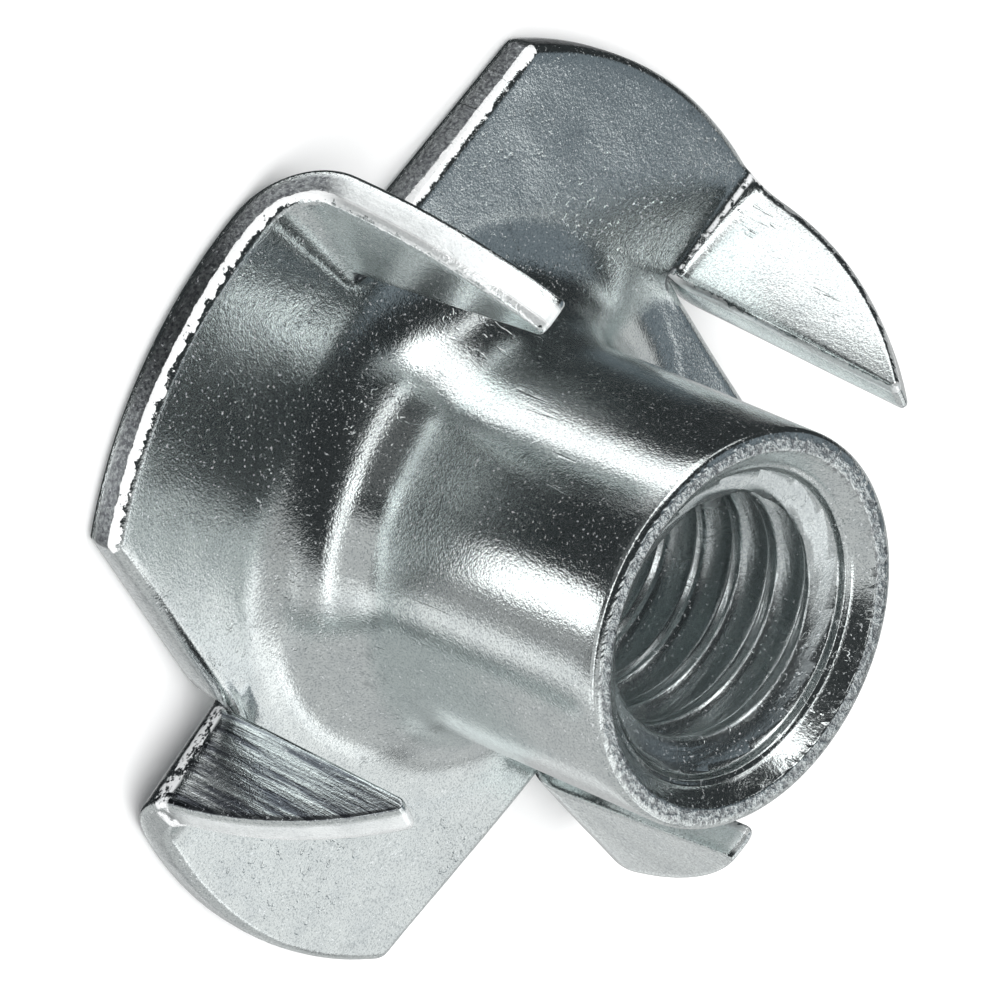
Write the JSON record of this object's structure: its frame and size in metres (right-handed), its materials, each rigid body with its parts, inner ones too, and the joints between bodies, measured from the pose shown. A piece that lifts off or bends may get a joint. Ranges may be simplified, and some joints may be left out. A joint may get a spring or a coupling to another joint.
{
  "type": "tee nut",
  "caption": "One-piece stamped steel tee nut: round slotted flange with upright prongs, drawn barrel and internal screw thread, for fastening into wood.",
  "frame": {"origin": "centre of the flange's flat back face, on the barrel's axis", "axes": "+Z along the barrel's axis towards its mouth, the way the prongs point; +X lies along the bend line of one prong"},
  "size_m": [0.019, 0.019, 0.0088],
  "materials": {
    "zinc_plated_steel": "bright zinc plate on stamped steel, satin and finely grained, sheared edges brighter"
  },
  "bodies": {
    "root": {"tee_nut": "zinc_plated_steel"}
  },
  "joints": []
}
